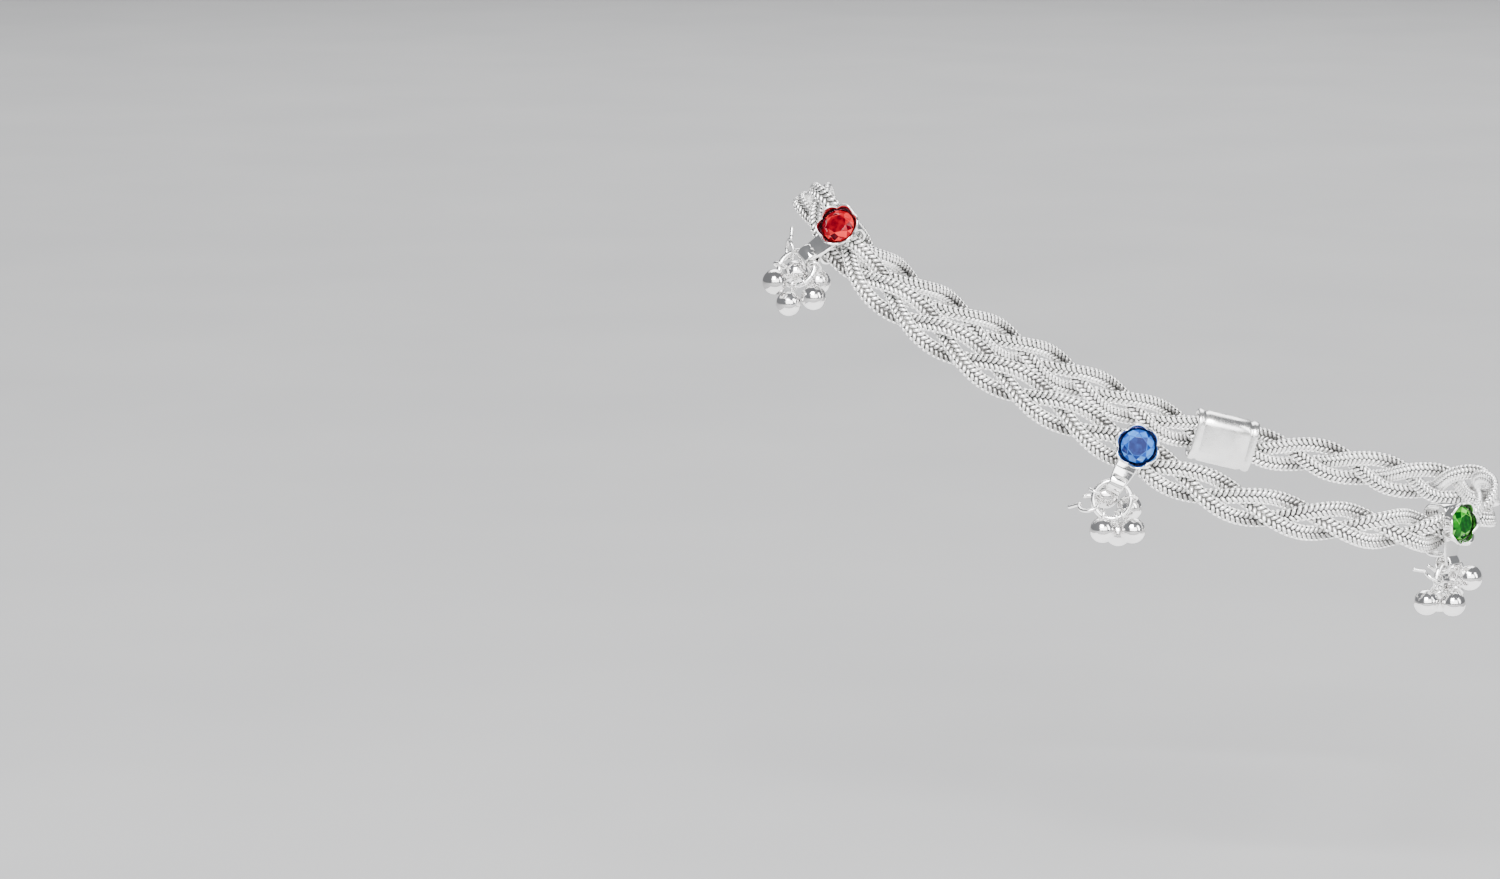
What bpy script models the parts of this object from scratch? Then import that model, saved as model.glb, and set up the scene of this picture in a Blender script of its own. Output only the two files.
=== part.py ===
"""Payal anklet: three flat woven chains plaited round the ankle, three stone
settings on its outer side, and a cluster of small ball bells hung from each.

Units below are millimetres; everything is built in metres, +Z up.
The origin is the middle of the loop, on the leg's axis. +X points to the heel
and -Y to the outer side of the leg, where the stones are.
"""
import bmesh
import bpy
import math
import numpy as np
from mathutils import Matrix, Vector

MM = 0.001

# ---------------------------------------------------------------- dimensions
# Half of the plait's middle line, from the front of the instep round the
# stones' side to the back of the heel: x, y, z and the lean of the band's
# outer face above the horizontal, in degrees. The other half mirrors it.
HALF_LOOP = [
    (-45.8, 0.0, 33.7, 44),
    (-43.2, -6.5, 29.7, 41),
    (-39.0, -10.6, 24.6, 34),
    (-33.0, -14.4, 19.6, 26),
    (-21.2, -19.2, 12.0, 18),
    (-9.4, -22.6, 5.4, 13),
    (2.3, -25.0, -0.75, 10),
    (13.0, -26.5, -4.65, 7),
    (24.4, -25.8, -6.75, 4),
    (34.2, -21.8, -8.4, 3),
    (41.5, -14.8, -8.8, 4),
    (45.9, -6.6, -7.6, 6),
    (46.9, 0.0, -6.9, 7),
]

STRAND_WIDTH = 2.0
STRAND_THICK = 0.9
SWING = 1.86            # sideways swing of each strand in the plait
WEAVE = 0.86            # swing over and under its neighbours
STRAND_ROLL = 12.0      # degrees that a strand tips as it crosses the middle
PLAIT_PERIOD = 27.6     # one full turn of a strand through the plait
PLAIT_START = -0.72     # where strand_a crosses the middle line going up
STRAND_SIDES = 8
RING_STEP = 1.8         # spacing of the strand's sections

CLASP_MIDDLE = 0.690    # place on the loop, as a part of its length
CLASP_LENGTH = 9.0
CLASP_WIDTH = 7.4
CLASP_THICK = 4.2
SOCKET_DEPTH = 2.2
SOCKET_WIDTH = 6.4
SOCKET_THICK = 3.2
STRAND_IN_SOCKET = 1.7

# the strap round the plait
STRAP_WIDTH = 3.0
STRAP_WALL = 0.4
STRAP_OPENING = (6.3, 3.1)      # across the plait, through it
# the rolled tube at its lower edge
TUBE_LENGTH = 2.1
TUBE_OUTER = 1.36
TUBE_INNER = 1.04
TUBE_DROP = 4.4
TUBE_OUT = 1.1
# the cup
CUP_RIM_OUTER = 2.85
CUP_RIM_INNER = 2.56
CUP_BASE = 1.9
CUP_HEIGHT = 2.1
CUP_RISE = 1.15         # above the middle of the plait
# the stone
STONE_RADIUS = 2.28
TABLE_RADIUS = 1.3
CROWN = 0.75
GIRDLE = 0.14
PAVILION = 0.85
STONE_FACETS = 16

RING_RADIUS = 2.45      # jump ring, to the middle of its wire
RING_WIRE = 0.375
RING_PLAY = 12.0        # degrees it can turn in its tube
RING_LIFT = 0.15        # its wire runs this far above the tube's middle

BALL_RADIUS = 1.68
BELL_ARM = 2.62         # from the ring's wire to the ball's middle
EYE_RADIUS = 0.8
EYE_WIRE = 0.2

LOOP_RADIUS = 1.35      # the small open wire loop
LOOP_WIRE = 0.24
LOOP_REACH = 3.05

# place on the loop (mm from the front), and the five balls of each cluster:
# x and z in the jump ring's own plane (z up), y through it (negative is
# outward), measured from the ring's middle; the last number says on which
# side of the ball its eye meets the wire.
STATIONS = {
    "red": dict(place=10.2, loop_at=-152.0, loop_tilt=52.0, balls=[
        (-1.9, -2.3, -2.95, -1), (-0.3, 0.0, -5.05, 1),
        (3.05, -0.05, -4.05, 1), (-0.75, 2.0, 0.1, -1), (2.5, 2.3, -0.95, 1)]),
    "blue": dict(place=60.2, loop_at=-80.0, loop_tilt=-52.0, balls=[
        (-1.13, -1.78, -3.92, -1), (2.76, -1.17, -3.92, 1),
        (0.84, 1.68, -4.37, 1), (-0.9, 2.21, 0.54, 1), (2.22, 2.29, -1.01, 1)]),
    "green": dict(place=105.4, loop_at=-112.0, loop_tilt=-52.0, balls=[
        (-4.5, 0.0, -2.3, -1), (-2.0, -2.4, -2.55, 1),
        (1.15, 2.3, -2.9, 1), (1.75, -2.3, 0.35, 1), (3.8, 2.2, -0.65, -1)]),
}

SILVER = (0.86, 0.855, 0.845, 1.0)
STONE_COLOURS = {
    "red": (0.50, 0.005, 0.012, 1.0),
    "blue": (0.015, 0.06, 0.42, 1.0),
    "green": (0.01, 0.26, 0.02, 1.0),
}

# ------------------------------------------------------------------- the file
for old in list(bpy.data.objects):
    bpy.data.objects.remove(old, do_unlink=True)

parts = bpy.data.collections.new("payal_anklet")
tools = bpy.data.collections.new("cutters")
bpy.context.scene.collection.children.link(parts)
bpy.context.scene.collection.children.link(tools)


def material(name, colour, roughness, metallic):
    mat = bpy.data.materials.new(name)
    mat.use_nodes = True
    shader = mat.node_tree.nodes["Principled BSDF"]
    shader.inputs["Base Color"].default_value = colour
    shader.inputs["Roughness"].default_value = roughness
    shader.inputs["Metallic"].default_value = metallic
    mat.diffuse_color = colour
    return mat


WOVEN = material("woven_silver", SILVER, 0.32, 1.0)
POLISHED = material("polished_silver", SILVER, 0.12, 1.0)
GLASS = {name: material("glass_" + name, colour, 0.05, 0.0)
         for name, colour in STONE_COLOURS.items()}


def add(name, mesh, mat, where=parts):
    """An object of this mesh, smooth apart from its sharp edges."""
    mesh.materials.clear()
    mesh.materials.append(mat)
    obj = bpy.data.objects.new(name, mesh)
    where.objects.link(obj)
    return obj


def smooth(mesh, degrees=35):
    mesh.shade_smooth()
    mesh.set_sharp_from_angle(angle=math.radians(degrees))


def evaluated(obj):
    """The object's mesh with its modifiers applied, welded."""
    graph = bpy.context.evaluated_depsgraph_get()
    graph.update()
    mesh = bpy.data.meshes.new_from_object(obj.evaluated_get(graph),
                                           depsgraph=graph)
    bm = bmesh.new()
    bm.from_mesh(mesh)
    bmesh.ops.remove_doubles(bm, verts=bm.verts, dist=1e-6)
    bm.to_mesh(mesh)
    bm.free()
    return mesh


def joined(name, pieces, cuts, mat):
    """Union of the pieces, less the cuts, as one object called name."""
    body = pieces[0]
    for other in pieces[1:]:
        mod = body.modifiers.new("join", "BOOLEAN")
        mod.operation = "UNION"
        mod.object = other
    for other in cuts:
        mod = body.modifiers.new("cut", "BOOLEAN")
        mod.operation = "DIFFERENCE"
        mod.object = other
    mesh = evaluated(body)
    mesh.transform(body.matrix_world)
    for used in pieces + cuts:
        bpy.data.objects.remove(used, do_unlink=True)
    mesh.name = name
    smooth(mesh)
    return add(name, mesh, mat)


# ------------------------------------------------------------- the middle line
class Loop:
    """A closed smooth curve through the loop's points, read by arc length."""

    def __init__(self, half):
        back = [(x, -y, z, lean) for x, y, z, lean in half[-2:0:-1]]
        points = np.array(half + back, dtype=float)
        n = len(points)
        chord = np.linalg.norm(np.roll(points[:, :3], -1, 0) - points[:, :3],
                               axis=1)
        knots = np.concatenate([[0.0], np.cumsum(chord)])
        # periodic cubic: second derivatives m at the points
        matrix = np.zeros((n, n))
        right = np.zeros((n, 4))
        for i in range(n):
            before, after = chord[i - 1], chord[i]
            matrix[i, i - 1] += before
            matrix[i, i] += 2 * (before + after)
            matrix[i, (i + 1) % n] += after
            right[i] = 6 * ((points[(i + 1) % n] - points[i]) / after
                            - (points[i] - points[i - 1]) / before)
        self.m = np.linalg.solve(matrix, right)
        self.points, self.chord, self.knots, self.n = points, chord, knots, n
        fine = np.linspace(0, knots[-1], 6001)
        line = np.array([self.raw(t)[:3] for t in fine])
        steps = np.linalg.norm(np.diff(line, axis=0), axis=1)
        self.fine = fine
        self.arc = np.concatenate([[0.0], np.cumsum(steps)])
        self.length = float(self.arc[-1])

    def raw(self, t):
        t = t % self.knots[-1]
        i = min(int(np.searchsorted(self.knots, t, side="right")) - 1,
                self.n - 1)
        j, h = (i + 1) % self.n, self.chord[i]
        a, b = self.knots[i] + h - t, t - self.knots[i]
        return (self.m[i] * a ** 3 / (6 * h) + self.m[j] * b ** 3 / (6 * h)
                + (self.points[i] / h - self.m[i] * h / 6) * a
                + (self.points[j] / h - self.m[j] * h / 6) * b)

    def frame(self, s):
        """Point, direction, outward face and upward edge at arc length s."""
        t = np.interp(s % self.length, self.arc, self.fine)
        here = self.raw(t)
        ahead, behind = self.raw(t + 0.05), self.raw(t - 0.05)
        along = Vector(ahead[:3] - behind[:3]).normalized()
        level = Vector((along.y, -along.x, 0.0)).normalized()
        lean = math.radians(here[3])
        rise = Vector((0, 0, 1))
        rise = (rise - rise.dot(along) * along).normalized()
        out = (level * math.cos(lean) + rise * math.sin(lean)).normalized()
        up = out.cross(along).normalized()
        return Vector(here[:3]), along, out, up


loop = Loop(HALF_LOOP)


def station_matrix(s):
    """Frame of the plait: X along it, -Y outward, Z to its upper edge."""
    here, along, out, up = loop.frame(s)
    return Matrix((
        (along.x, -out.x, up.x, here.x), (along.y, -out.y, up.y, here.y),
        (along.z, -out.z, up.z, here.z), (0, 0, 0, 1)))


# -------------------------------------------------------------- plaited strands
def strand_point(s, turn):
    """Middle of a strand at arc length s; turn is its place in the plait."""
    here, along, out, up = loop.frame(s)
    angle = 2 * math.pi * (s - PLAIT_START) / PLAIT_PERIOD + turn
    return (here + up * SWING * math.sin(angle)
            + out * WEAVE * math.sin(2 * angle)), angle


def strand_mesh(turn, start, end):
    """A flat oval section carried along one strand's way through the plait.

    A grid is rolled round the section and laid along the way, its seam is
    welded and its two ends are filled.
    """
    rings = int(round((end - start) / RING_STEP)) + 1
    bm = bmesh.new()
    bmesh.ops.create_grid(bm, x_segments=rings - 1, y_segments=STRAND_SIDES,
                          size=0.5)
    for vert in bm.verts:
        s = start + (vert.co.x + 0.5) * (end - start)
        round_angle = (vert.co.y + 0.5) * 2 * math.pi
        centre, angle = strand_point(s, turn)
        before, after = (strand_point(s - 0.1, turn)[0],
                         strand_point(s + 0.1, turn)[0])
        along = (after - before).normalized()
        out = loop.frame(s)[2]
        out = (out - out.dot(along) * along).normalized()
        side = out.cross(along).normalized()
        roll = math.radians(STRAND_ROLL) * math.cos(angle)
        face = out * math.cos(roll) - side * math.sin(roll)
        edge = side * math.cos(roll) + out * math.sin(roll)
        vert.co = (centre
                   + edge * STRAND_WIDTH / 2 * math.cos(round_angle)
                   + face * STRAND_THICK / 2 * math.sin(round_angle)) * MM
    bmesh.ops.remove_doubles(bm, verts=bm.verts, dist=1e-7)
    bmesh.ops.holes_fill(bm, edges=bm.edges, sides=STRAND_SIDES)
    bmesh.ops.recalc_face_normals(bm, faces=bm.faces)
    mesh = bpy.data.meshes.new("strand")
    bm.to_mesh(mesh)
    bm.free()
    smooth(mesh, 60)
    return mesh


clasp_at = CLASP_MIDDLE * loop.length
strand_start = (clasp_at + CLASP_LENGTH / 2 - STRAND_IN_SOCKET) - loop.length
strand_end = clasp_at - CLASP_LENGTH / 2 + STRAND_IN_SOCKET
for index, letter in enumerate("abc"):
    add("strand_" + letter,
        strand_mesh(index * 2 * math.pi / 3, strand_start, strand_end), WOVEN)


# ---------------------------------------------------------------- small makers
def box(name, size, location, where=tools):
    mesh = bpy.data.meshes.new(name)
    bm = bmesh.new()
    bmesh.ops.create_cube(bm, size=1.0)
    bmesh.ops.scale(bm, vec=Vector(size) * MM, verts=bm.verts)
    bmesh.ops.translate(bm, vec=Vector(location) * MM, verts=bm.verts)
    bm.to_mesh(mesh)
    bm.free()
    obj = bpy.data.objects.new(name, mesh)
    obj.hide_render = True
    obj.display_type = "WIRE"
    where.objects.link(obj)
    return obj


def rounded(obj, width, segments=2):
    """Round the box's edges that run along X."""
    bm = bmesh.new()
    bm.from_mesh(obj.data)
    edges = [e for e in bm.edges
             if abs((e.verts[0].co - e.verts[1].co).normalized().x) > 0.9]
    bmesh.ops.bevel(bm, geom=edges, offset=width * MM, segments=segments,
                    profile=0.5, affect="EDGES")
    bm.to_mesh(obj.data)
    bm.free()
    return obj


def tube(name, radius, length, location, sides=16):
    """A solid cylinder lying along X."""
    mesh = bpy.data.meshes.new(name)
    bm = bmesh.new()
    bmesh.ops.create_cone(
        bm, cap_ends=True, segments=sides, radius1=radius * MM,
        radius2=radius * MM, depth=length * MM,
        matrix=Matrix.Translation(Vector(location) * MM)
        @ Matrix.Rotation(math.pi / 2, 4, "Y"))
    bm.to_mesh(mesh)
    bm.free()
    obj = bpy.data.objects.new(name, mesh)
    obj.hide_render = True
    obj.display_type = "WIRE"
    tools.objects.link(obj)
    return obj


def turned(name, profile, steps, location):
    """A closed profile of (radius, height out) turned about the -Y axis."""
    mesh = bpy.data.meshes.new(name)
    bm = bmesh.new()
    verts = [bm.verts.new((r * MM, 0.0, h * MM)) for r, h in profile]
    for one, two in zip(verts, verts[1:]):
        bm.edges.new((one, two))
    bm.to_mesh(mesh)
    bm.free()
    obj = bpy.data.objects.new(name, mesh)
    tools.objects.link(obj)
    mod = obj.modifiers.new("turn", "SCREW")
    mod.steps = mod.render_steps = steps
    mod.use_merge_vertices = True
    mod.merge_threshold = 0.000001
    mod.use_normal_calculate = True
    mesh = evaluated(obj)
    bpy.data.objects.remove(obj, do_unlink=True)
    mesh.transform(Matrix.Translation(Vector(location) * MM)
                   @ Matrix.Rotation(math.pi / 2, 4, "X"))
    bm = bmesh.new()
    bm.from_mesh(mesh)
    bmesh.ops.recalc_face_normals(bm, faces=bm.faces)
    bm.to_mesh(mesh)
    bm.free()
    obj = bpy.data.objects.new(name, mesh)
    obj.hide_render = True
    obj.display_type = "WIRE"
    tools.objects.link(obj)
    return obj


def wire(name, points, radius, mat, closed=False, resolution=1):
    """A round wire along these points (mm), as a mesh object."""
    curve = bpy.data.curves.new(name, "CURVE")
    curve.dimensions = "3D"
    curve.bevel_depth = radius * MM
    curve.bevel_resolution = resolution
    curve.use_fill_caps = not closed
    line = curve.splines.new("POLY")
    line.points.add(len(points) - 1)
    for point, place in zip(line.points, points):
        point.co = (*(Vector(place) * MM), 1.0)
    line.use_cyclic_u = closed
    obj = bpy.data.objects.new(name + "_line", curve)
    tools.objects.link(obj)
    mesh = evaluated(obj)
    bpy.data.objects.remove(obj, do_unlink=True)
    bm = bmesh.new()
    bm.from_mesh(mesh)
    bmesh.ops.recalc_face_normals(bm, faces=bm.faces)
    bm.to_mesh(mesh)
    bm.free()
    mesh.name = name
    smooth(mesh, 50)
    return mesh


# -------------------------------------------------------------------- settings
def make_setting(colour, place):
    matrix = station_matrix(place)
    matrix.translation = matrix.translation * MM
    high, deep = STRAP_OPENING
    strap = rounded(box("strap", (STRAP_WIDTH, deep + 2 * STRAP_WALL,
                                  high + 2 * STRAP_WALL), (0, 0, 0)), 1.3)
    opening = rounded(box("opening", (STRAP_WIDTH + 2, deep, high),
                          (0, 0, 0)), 0.95)
    front = -(deep / 2 + STRAP_WALL)
    # the strap's lower end narrows to the tube
    tail = box("tail", (TUBE_LENGTH, 0.5, 1.9),
               (0, front + 0.3, -TUBE_DROP + 1.25))
    roll = tube("roll", TUBE_OUTER, TUBE_LENGTH, (0, -TUBE_OUT, -TUBE_DROP))
    bore = tube("bore", TUBE_INNER, TUBE_LENGTH + 2,
                (0, -TUBE_OUT, -TUBE_DROP), 12)
    base = front + 0.25
    cup = turned("cup", [
        (0.0, 0.0), (CUP_BASE, 0.0), (CUP_BASE + 0.45, 0.45),
        (CUP_RIM_OUTER - 0.1, CUP_HEIGHT * 0.6), (CUP_RIM_OUTER, CUP_HEIGHT),
        (CUP_RIM_OUTER - 0.08, CUP_HEIGHT + 0.14),
        (CUP_RIM_INNER + 0.05, CUP_HEIGHT + 0.14),
        (CUP_RIM_INNER, CUP_HEIGHT), (CUP_RIM_INNER - 0.08, CUP_HEIGHT - 0.8),
        (CUP_BASE, 0.75), (0.9, 0.4), (0.0, 0.4)], 24, (0, base, CUP_RISE))
    setting = joined("setting_" + colour, [strap, tail, roll, cup],
                     [opening, bore], POLISHED)
    setting.data.transform(matrix)
    # the stone stands in the cup on its girdle
    mesh = bpy.data.meshes.new("stone_" + colour)
    bm = bmesh.new()
    levels = [(0.55, -PAVILION), (STONE_RADIUS, 0.0), (STONE_RADIUS, GIRDLE),
              (TABLE_RADIUS, GIRDLE + CROWN)]
    for (r1, z1), (r2, z2) in zip(levels, levels[1:]):
        bmesh.ops.create_cone(
            bm, cap_ends=False, segments=STONE_FACETS, radius1=r1 * MM,
            radius2=r2 * MM, depth=(z2 - z1) * MM,
            matrix=Matrix.Translation((0, 0, (z1 + z2) / 2 * MM)))
    bmesh.ops.remove_doubles(bm, verts=bm.verts, dist=1e-6)
    bmesh.ops.holes_fill(bm, edges=bm.edges, sides=STONE_FACETS)
    bmesh.ops.recalc_face_normals(bm, faces=bm.faces)
    seat = base - (CUP_HEIGHT - 0.62)
    bmesh.ops.transform(
        bm, verts=bm.verts,
        matrix=matrix @ Matrix.Translation(Vector((0, seat, CUP_RISE)) * MM)
        @ Matrix.Rotation(math.pi / 2, 4, "X"))
    bm.to_mesh(mesh)
    bm.free()
    add("stone_" + colour, mesh, GLASS[colour])


# ------------------------------------------------------------------ the drops
def ring_matrix(place):
    """Frame of a jump ring: Z up in its own plane, -Y outward, and the
    ring's middle at the origin."""
    here, along, out, up = loop.frame(place)
    tube_middle = here + out * TUBE_OUT - up * TUBE_DROP
    down = Vector((0, 0, -1))
    down = (down - down.dot(out) * out).normalized()
    swing = math.atan2(down.dot(along), down.dot(-up))
    turn = max(-RING_PLAY, min(RING_PLAY, math.degrees(swing)))
    turn = math.radians(turn)
    hang = along * math.sin(turn) - up * math.cos(turn)
    middle = tube_middle + hang * (RING_RADIUS - RING_LIFT)
    z_axis = -down
    y_axis = -out
    x_axis = y_axis.cross(z_axis)
    return Matrix((
        (x_axis.x, y_axis.x, z_axis.x, middle.x),
        (x_axis.y, y_axis.y, z_axis.y, middle.y),
        (x_axis.z, y_axis.z, z_axis.z, middle.z), (0, 0, 0, 1)))


def circle(radius, count, start=0.0, sweep=2 * math.pi, closed=True):
    steps = count if closed else count - 1
    return [Vector((radius * math.sin(start + sweep * i / steps), 0.0,
                    -radius * math.cos(start + sweep * i / steps)))
            for i in range(count)]


def bell_place(ball, side):
    """Where the bell's eye meets the ring's wire, for a ball at this place."""
    reach = math.sqrt(max(BELL_ARM ** 2 - ball.y ** 2, 0.0))
    flat = math.hypot(ball.x, ball.z)
    cosine = ((flat ** 2 + RING_RADIUS ** 2 - reach ** 2)
              / (2 * flat * RING_RADIUS))
    spread = math.acos(max(-1.0, min(1.0, cosine)))
    angle = math.atan2(ball.x, -ball.z) + side * spread
    eye = Vector((RING_RADIUS * math.sin(angle), 0.0,
                  -RING_RADIUS * math.cos(angle)))
    tangent = Vector((math.cos(angle), 0.0, math.sin(angle)))
    return eye, tangent


def make_bell(name, ring, ball, side):
    eye, tangent = bell_place(ball, side)
    down = (ball - eye).normalized()
    eye = ball - down * BELL_ARM
    across = (tangent - tangent.dot(down) * down).normalized()
    other = down.cross(across)
    frame = Matrix(((other.x, across.x, -down.x, ball.x),
                    (other.y, across.y, -down.y, ball.y),
                    (other.z, across.z, -down.z, ball.z), (0, 0, 0, 1)))
    sphere_mesh = bpy.data.meshes.new(name + "_ball")
    bm = bmesh.new()
    bmesh.ops.create_uvsphere(bm, u_segments=12, v_segments=8,
                              radius=BALL_RADIUS * MM)
    bm.to_mesh(sphere_mesh)
    bm.free()
    sphere = bpy.data.objects.new(name + "_ball", sphere_mesh)
    tools.objects.link(sphere)
    hoop_mesh = wire(name + "_eye", [
        point + Vector((0, 0, BELL_ARM)) for point in circle(EYE_RADIUS, 10)],
        EYE_WIRE, POLISHED, closed=True, resolution=1)
    hoop = bpy.data.objects.new(name + "_eye", hoop_mesh)
    tools.objects.link(hoop)
    bell = joined(name, [sphere, hoop], [], POLISHED)
    place = ring @ frame
    place.translation = place.translation * MM
    bell.data.transform(place)


def make_ring(colour, ring):
    mesh = wire("jump_ring_" + colour, circle(RING_RADIUS, 22), RING_WIRE,
                POLISHED, closed=True, resolution=1)
    place = ring.copy()
    place.translation = place.translation * MM
    mesh.transform(place)
    add("jump_ring_" + colour, mesh, POLISHED)


def make_wire_loop(colour, ring, at, tilt):
    """An open loop of thin wire round the jump ring, one end straight."""
    angle = math.radians(at)
    radial = Vector((math.sin(angle), 0.0, -math.cos(angle)))
    tangent = Vector((math.cos(angle), 0.0, math.sin(angle)))
    tilt = math.radians(tilt)
    side = (tangent * math.cos(tilt)
            + Vector((0, 1, 0)) * math.sin(tilt))
    normal = radial.cross(side)
    middle = radial * LOOP_REACH
    points = []
    for i in range(17):
        t = math.radians(-28 + i * 318 / 16)
        points.append(middle + (radial * math.cos(t) + side * math.sin(t))
                      * LOOP_RADIUS + normal * (-0.32 + 0.64 * i / 16))
    first = points[0]
    tail = (-side * 0.25 + radial * 1.0 + normal * -0.35).normalized()
    points = [first + tail * 1.6, first + tail * 0.6] + points
    mesh = wire("wire_loop_" + colour, points, LOOP_WIRE, POLISHED)
    place = ring.copy()
    place.translation = place.translation * MM
    mesh.transform(place)
    add("wire_loop_" + colour, mesh, POLISHED)


for colour, station in STATIONS.items():
    make_setting(colour, station["place"])
    ring = ring_matrix(station["place"])
    make_ring(colour, ring)
    make_wire_loop(colour, ring, station["loop_at"], station["loop_tilt"])
    for number, (x, y, z, side) in enumerate(station["balls"], 1):
        make_bell(f"bell_{colour}_{number}", ring, Vector((x, y, z)), side)


# ----------------------------------------------------------------- hidden clasp
def make_clasp():
    barrel = rounded(box("barrel", (CLASP_LENGTH, CLASP_THICK, CLASP_WIDTH),
                         (0, 0, 0)), 1.9, 4)
    middle = station_matrix(clasp_at)
    cuts = []
    for end in (-1, 1):
        # each socket follows the plait where it comes in
        mouth = station_matrix(clasp_at + end * CLASP_LENGTH / 2)
        local = middle.inverted() @ mouth
        cut = rounded(box("socket", (2 * SOCKET_DEPTH, SOCKET_THICK,
                                     SOCKET_WIDTH), (0, 0, 0)), 1.2)
        local.translation = local.translation * MM
        cut.data.transform(local)
        cuts.append(cut)
    clasp = joined("clasp", [barrel], cuts, POLISHED)
    middle.translation = middle.translation * MM
    clasp.data.transform(middle)


make_clasp()
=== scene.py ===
"""Looks of the payal anklet: woven silver chains, stone settings and bells."""

import math

import bmesh
import bpy
import numpy as np
from mathutils import Matrix, Vector


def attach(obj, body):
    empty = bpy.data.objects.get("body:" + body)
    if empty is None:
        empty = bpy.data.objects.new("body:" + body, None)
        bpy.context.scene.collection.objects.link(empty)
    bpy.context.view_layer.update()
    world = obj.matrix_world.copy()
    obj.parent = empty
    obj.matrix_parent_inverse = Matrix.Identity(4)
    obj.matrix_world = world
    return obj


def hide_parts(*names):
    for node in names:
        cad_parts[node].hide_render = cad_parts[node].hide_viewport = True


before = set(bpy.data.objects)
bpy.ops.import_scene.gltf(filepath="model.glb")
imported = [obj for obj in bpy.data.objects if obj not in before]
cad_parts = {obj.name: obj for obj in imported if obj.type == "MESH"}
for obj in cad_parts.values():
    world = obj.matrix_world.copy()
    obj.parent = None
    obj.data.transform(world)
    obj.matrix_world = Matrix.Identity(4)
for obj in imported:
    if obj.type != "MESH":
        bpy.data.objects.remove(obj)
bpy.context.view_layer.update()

MM = 0.001

# ------------------------------------------------------------ camera and stage
camera_data = bpy.data.cameras.new("camera")
camera = bpy.data.objects.new("camera", camera_data)
bpy.context.scene.collection.objects.link(camera)
camera.location = (-0.0541, -0.59088, 0.10419)
camera.rotation_euler = (math.radians(80), 0, 0)
camera_data.lens = 105.36
camera_data.sensor_width = 36
camera_data.clip_start = 0.01
camera_data.clip_end = 50
bpy.context.scene.camera = camera

FLOOR_Z = -0.060

# ---------------------------------------------- the frame's dimensions, in mm
HALF_LOOP = [
    (-45.8, 0.0, 33.7, 44), (-43.2, -6.5, 29.7, 41), (-39.0, -10.6, 24.6, 34),
    (-33.0, -14.4, 19.6, 26), (-21.2, -19.2, 12.0, 18), (-9.4, -22.6, 5.4, 13),
    (2.3, -25.0, -0.75, 10), (13.0, -26.5, -4.65, 7), (24.4, -25.8, -6.75, 4),
    (34.2, -21.8, -8.4, 3), (41.5, -14.8, -8.8, 4), (45.9, -6.6, -7.6, 6),
    (46.9, 0.0, -6.9, 7)]
STRAND_WIDTH, STRAND_THICK = 2.0, 0.9
SWING, WEAVE, STRAND_ROLL = 1.86, 0.86, 12.0
PLAIT_PERIOD, PLAIT_START = 27.6, -0.72
CLASP_MIDDLE, CLASP_LENGTH, CLASP_WIDTH, CLASP_THICK = 0.690, 9.0, 7.4, 4.2
SOCKET_DEPTH, SOCKET_WIDTH, SOCKET_THICK = 2.2, 6.4, 3.2
STRAND_IN_SOCKET = 1.7
STRAP_WIDTH, STRAP_WALL, STRAP_OPENING = 3.0, 0.4, (6.3, 3.1)
TUBE_LENGTH, TUBE_OUTER, TUBE_INNER = 2.1, 1.36, 1.04
TUBE_DROP, TUBE_OUT = 4.4, 1.1
CUP_RIM_OUTER, CUP_RIM_INNER, CUP_BASE = 2.85, 2.56, 1.9
CUP_HEIGHT, CUP_RISE = 2.1, 1.15
STONE_RADIUS, TABLE_RADIUS, CROWN, GIRDLE, PAVILION = 2.28, 1.3, 0.75, 0.14, 0.85
RING_RADIUS, RING_WIRE, RING_PLAY, RING_LIFT = 2.45, 0.375, 12.0, 0.15
BALL_RADIUS, BELL_ARM, EYE_RADIUS, EYE_WIRE = 1.68, 2.62, 0.8, 0.2
LOOP_RADIUS, LOOP_WIRE, LOOP_REACH = 1.35, 0.24, 3.05
STATIONS = {
    "red": dict(place=10.2, loop_at=-152.0, loop_tilt=52.0, balls=[
        (-1.9, -2.3, -2.95, -1), (-0.3, 0.0, -5.05, 1),
        (3.05, -0.05, -4.05, 1), (-0.75, 2.0, 0.1, -1), (2.5, 2.3, -0.95, 1)]),
    "blue": dict(place=60.2, loop_at=-80.0, loop_tilt=-52.0, balls=[
        (-1.13, -1.78, -3.92, -1), (2.76, -1.17, -3.92, 1),
        (0.84, 1.68, -4.37, 1), (-0.9, 2.21, 0.54, 1), (2.22, 2.29, -1.01, 1)]),
    "green": dict(place=105.4, loop_at=-112.0, loop_tilt=-52.0, balls=[
        (-4.5, 0.0, -2.3, -1), (-2.0, -2.4, -2.55, 1),
        (1.15, 2.3, -2.9, 1), (1.75, -2.3, 0.35, 1), (3.8, 2.2, -0.65, -1)]),
}


# ------------------------------------------------------------------- materials
def new_material(name):
    mat = bpy.data.materials.new(name)
    mat.use_nodes = True
    tree = mat.node_tree
    return mat, tree.nodes, tree.links, tree.nodes["Principled BSDF"]


def noise(nodes, links, coords, scale, detail=3.0, roughness=0.5):
    node = nodes.new("ShaderNodeTexNoise")
    node.inputs["Scale"].default_value = scale
    node.inputs["Detail"].default_value = detail
    node.inputs["Roughness"].default_value = roughness
    links.new(coords, node.inputs["Vector"])
    return node.outputs["Fac"]


def ramp(nodes, links, source, stops):
    node = nodes.new("ShaderNodeValToRGB")
    band = node.color_ramp
    while len(band.elements) < len(stops):
        band.elements.new(0.5)
    for element, (place, colour) in zip(band.elements, stops):
        element.position = place
        element.color = (*colour, 1.0)
    links.new(source, node.inputs["Fac"])
    return node.outputs["Color"]


def grey(value):
    return (value, value, value)


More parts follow.
